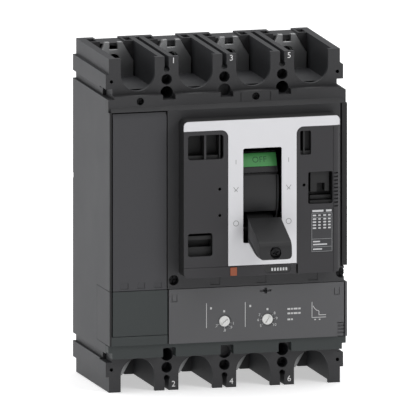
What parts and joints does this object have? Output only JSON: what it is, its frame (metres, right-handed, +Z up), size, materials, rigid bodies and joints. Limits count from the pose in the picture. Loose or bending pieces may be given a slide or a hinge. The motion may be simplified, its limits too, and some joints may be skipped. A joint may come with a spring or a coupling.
{
  "type": "molded case breaker",
  "caption": "Four-pole molded case circuit breaker with a rocking toggle, terminal bays at both ends, a thermal-magnetic trip unit with setting dials, and a push-to-trip button.",
  "frame": {"origin": "centre of the back mounting plane", "axes": "+X right seen from the front, the front faces -Y, +Z up towards the line-side terminals"},
  "size_m": [0.185, 0.1619, 0.255],
  "materials": {
    "dark_polyamide": "moulded, fine matt grain",
    "greenish_polyamide": "moulded, fine matt grain",
    "grey_polycarbonate": "moulded, satin",
    "black_thermoset": "moulded",
    "white_polycarbonate": "satin",
    "toggle_polyamide": "moulded, satin",
    "printed_foil": "satin foil",
    "green_plastic": "satin",
    "red_plastic": "satin",
    "orange_plastic": "satin",
    "dial_plastic": "satin",
    "rotor_thermoset": "moulded",
    "tinned_copper": "tin plated, satin",
    "copper": "drawn copper",
    "bimetal_strip": "rolled",
    "zinc_plated_steel": "zinc plated",
    "black_steel": "black oxide"
  },
  "bodies": {
    "case": {"base_case": "dark_polyamide", "middle_case": "dark_polyamide", "case_screws": "zinc_plated_steel", "main_cover": "dark_polyamide", "neutral_cover": "dark_polyamide", "lower_cover": "greenish_polyamide", "nose_cover": "dark_polyamide", "escutcheon": "white_polycarbonate", "trip_unit_case": "black_thermoset", "trip_unit_cover": "grey_polycarbonate", "trip_unit_neutral_cover": "greenish_polyamide", "rating_plate": "printed_foil", "name_plate": "printed_foil", "cover_screws": "black_steel", "lower_cover_screws": "black_steel", "terminal_nuts": "zinc_plated_steel", "sealing_screw": "black_steel", "upper_terminal_n": "tinned_copper", "upper_terminal_l1": "tinned_copper", "upper_terminal_l2": "tinned_copper", "upper_terminal_l3": "tinned_copper", "lower_terminal_n": "tinned_copper", "lower_terminal_l1": "tinned_copper", "lower_terminal_l2": "tinned_copper", "lower_terminal_l3": "tinned_copper", "arc_chute_n": "zinc_plated_steel", "arc_chute_l1": "zinc_plated_steel", "arc_chute_l2": "zinc_plated_steel", "arc_chute_l3": "zinc_plated_steel", "mechanism_frame": "zinc_plated_steel", "mechanism_spacers": "zinc_plated_steel", "toggle_pivot_pin": "zinc_plated_steel", "bimetals": "bimetal_strip", "magnet_yokes": "zinc_plated_steel", "armature_rod": "zinc_plated_steel", "button_spring": "zinc_plated_steel"},
    "toggle": {"toggle_yoke": "zinc_plated_steel", "toggle_shield": "toggle_polyamide", "toggle_lever": "toggle_polyamide", "toggle_extension": "toggle_polyamide", "toggle_screw": "zinc_plated_steel", "off_flag": "green_plastic", "on_flag": "red_plastic"},
    "contact_shaft": {"rotor_n": "rotor_thermoset", "rotor_l1": "rotor_thermoset", "rotor_l2": "rotor_thermoset", "rotor_l3": "rotor_thermoset", "contact_bridge_n": "copper", "contact_bridge_l1": "copper", "contact_bridge_l2": "copper", "contact_bridge_l3": "copper", "rotor_rods": "zinc_plated_steel"},
    "trip_shaft": {"trip_bar": "dial_plastic"},
    "trip_button": {"push_to_trip_button": "orange_plastic"},
    "long_time_dial": {"long_time_dial": "dial_plastic"},
    "instantaneous_dial": {"instantaneous_dial": "dial_plastic"},
    "armature_n": {"armature_n": "zinc_plated_steel"},
    "armature_l1": {"armature_l1": "zinc_plated_steel"},
    "armature_l2": {"armature_l2": "zinc_plated_steel"},
    "armature_l3": {"armature_l3": "zinc_plated_steel"}
  },
  "joints": [
    {"name": "toggle_swing", "type": "hinge", "parent": "case", "child": "toggle", "pos_m": [0.0225, -0.06, 0.026], "axis": [-1, 0, 0], "range_deg": [0, 43]},
    {"name": "contact_shaft_turn", "type": "hinge", "parent": "case", "child": "contact_shaft", "pos_m": [0, -0.034, 0.02], "axis": [-1, 0, 0], "range_deg": [0, 35]},
    {"name": "trip_bar_turn", "type": "hinge", "parent": "case", "child": "trip_shaft", "pos_m": [0, -0.078, -0.058], "axis": [-1, 0, 0], "range_deg": [0, 8], "stiffness_Nm_per_rad": 0.25, "springref_deg": -11.46},
    {"name": "push_to_trip", "type": "slide", "parent": "case", "child": "trip_button", "axis": [0, 1, 0], "range_m": [0, 0.0025], "stiffness_N_per_m": 300, "springref_m": -0.002, "deforming": ["button_spring"]},
    {"name": "long_time_setting", "type": "hinge", "parent": "case", "child": "long_time_dial", "pos_m": [-0.00305, -0.107, -0.0747], "axis": [0, -1, 0], "range_deg": [0, 134]},
    {"name": "instantaneous_setting", "type": "hinge", "parent": "case", "child": "instantaneous_dial", "pos_m": [0.0304, -0.107, -0.0747], "axis": [0, 1, 0], "range_deg": [-15, 265]},
    {"name": "armature_n_swing", "type": "hinge", "parent": "case", "child": "armature_n", "pos_m": [0, -0.064, -0.081], "axis": [-1, 0, 0], "range_deg": [0, 9], "stiffness_Nm_per_rad": 0.02, "springref_deg": -11.46},
    {"name": "armature_l1_swing", "type": "hinge", "parent": "case", "child": "armature_l1", "pos_m": [0, -0.064, -0.081], "axis": [-1, 0, 0], "range_deg": [0, 9], "stiffness_Nm_per_rad": 0.02, "springref_deg": -11.46},
    {"name": "armature_l2_swing", "type": "hinge", "parent": "case", "child": "armature_l2", "pos_m": [0, -0.064, -0.081], "axis": [-1, 0, 0], "range_deg": [0, 9], "stiffness_Nm_per_rad": 0.02, "springref_deg": -11.46},
    {"name": "armature_l3_swing", "type": "hinge", "parent": "case", "child": "armature_l3", "pos_m": [0, -0.064, -0.081], "axis": [-1, 0, 0], "range_deg": [0, 9], "stiffness_Nm_per_rad": 0.02, "springref_deg": -11.46}
  ],
  "couplings": [
    {"joint": "contact_shaft_turn", "follows": "toggle_swing", "ratio": 0.81395}
  ]
}
